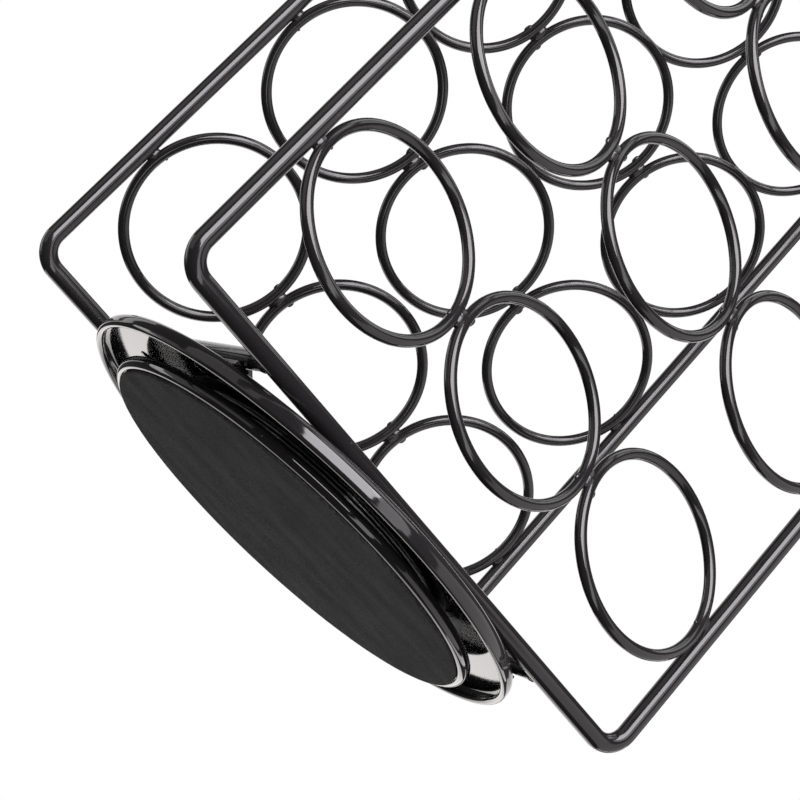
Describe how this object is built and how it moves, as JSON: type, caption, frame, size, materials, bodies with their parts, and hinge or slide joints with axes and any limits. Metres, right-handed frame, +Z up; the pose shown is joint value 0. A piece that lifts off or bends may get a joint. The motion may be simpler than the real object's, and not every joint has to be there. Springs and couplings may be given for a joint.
{
  "type": "coffee capsule rack",
  "caption": "Two-sided wire rack that holds coffee capsules in rings on upright frames and turns on a round lazy-susan base.",
  "frame": {"origin": "centre of the foam pad's underside, where the rack rests on the table", "axes": "+Z up along the turntable's spin axis; +X to the right along the width of the frames; +Y from the front frame to the rear frame"},
  "size_m": [0.1758, 0.1416, 0.2767],
  "materials": {
    "frame_paint": "gloss black enamel on bent steel bar",
    "ring_paint": "gloss black enamel on steel wire",
    "dish_paint": "gloss black enamel on pressed sheet steel",
    "foot_paint": "gloss black enamel on the foot disc",
    "foam_pad": "matt dark grey closed-cell foam, fine speckle",
    "zinc_steel": "bright zinc plated steel",
    "ball_steel": "polished bearing steel",
    "nylon": "natural nylon"
  },
  "bodies": {
    "foot": {"foam_pad": "foam_pad", "foot_disc": "foot_paint", "lower_race": "zinc_steel", "thrust_bush": "nylon", "pivot_bolt": "zinc_steel", "pivot_washer": "zinc_steel", "pivot_nut": "zinc_steel"},
    "turntable": {"turntable_dish": "dish_paint", "upper_race": "zinc_steel", "crossbar_strap_left": "frame_paint", "crossbar_strap_right": "frame_paint", "strap_rivet_1": "frame_paint", "strap_rivet_2": "frame_paint", "strap_rivet_3": "frame_paint", "strap_rivet_4": "frame_paint", "bottom_crossbar_left": "frame_paint", "bottom_crossbar_right": "frame_paint", "top_crossbar_left": "frame_paint", "top_crossbar_right": "frame_paint", "frame_front": "frame_paint", "frame_rear": "frame_paint", "ring_front_row1_left": "ring_paint", "ring_front_row1_centre": "ring_paint", "ring_front_row1_right": "ring_paint", "ring_front_row2_left": "ring_paint", "ring_front_row2_centre": "ring_paint", "ring_front_row2_right": "ring_paint", "ring_front_row3_left": "ring_paint", "ring_front_row3_centre": "ring_paint", "ring_front_row3_right": "ring_paint", "ring_front_row4_left": "ring_paint", "ring_front_row4_centre": "ring_paint", "ring_front_row4_right": "ring_paint", "ring_rear_row1_left": "ring_paint", "ring_rear_row1_centre": "ring_paint", "ring_rear_row1_right": "ring_paint", "ring_rear_row2_left": "ring_paint", "ring_rear_row2_centre": "ring_paint", "ring_rear_row2_right": "ring_paint", "ring_rear_row3_left": "ring_paint", "ring_rear_row3_centre": "ring_paint", "ring_rear_row3_right": "ring_paint", "ring_rear_row4_left": "ring_paint", "ring_rear_row4_centre": "ring_paint", "ring_rear_row4_right": "ring_paint"},
    "bearing_cage": {"ball_cage": "zinc_steel", "bearing_ball_1": "ball_steel", "bearing_ball_2": "ball_steel", "bearing_ball_3": "ball_steel", "bearing_ball_4": "ball_steel", "bearing_ball_5": "ball_steel", "bearing_ball_6": "ball_steel", "bearing_ball_7": "ball_steel", "bearing_ball_8": "ball_steel", "bearing_ball_9": "ball_steel", "bearing_ball_10": "ball_steel", "bearing_ball_11": "ball_steel", "bearing_ball_12": "ball_steel"}
  },
  "joints": [
    {"name": "turntable_spin", "type": "hinge", "parent": "foot", "child": "turntable", "pos_m": [0, 0, 0.0062], "axis": [0, 0, 1], "continuous": true},
    {"name": "cage_spin", "type": "hinge", "parent": "foot", "child": "bearing_cage", "pos_m": [0, 0, 0.0062], "axis": [0, 0, 1], "continuous": true}
  ],
  "couplings": [
    {"joint": "cage_spin", "follows": "turntable_spin", "ratio": 0.5}
  ]
}
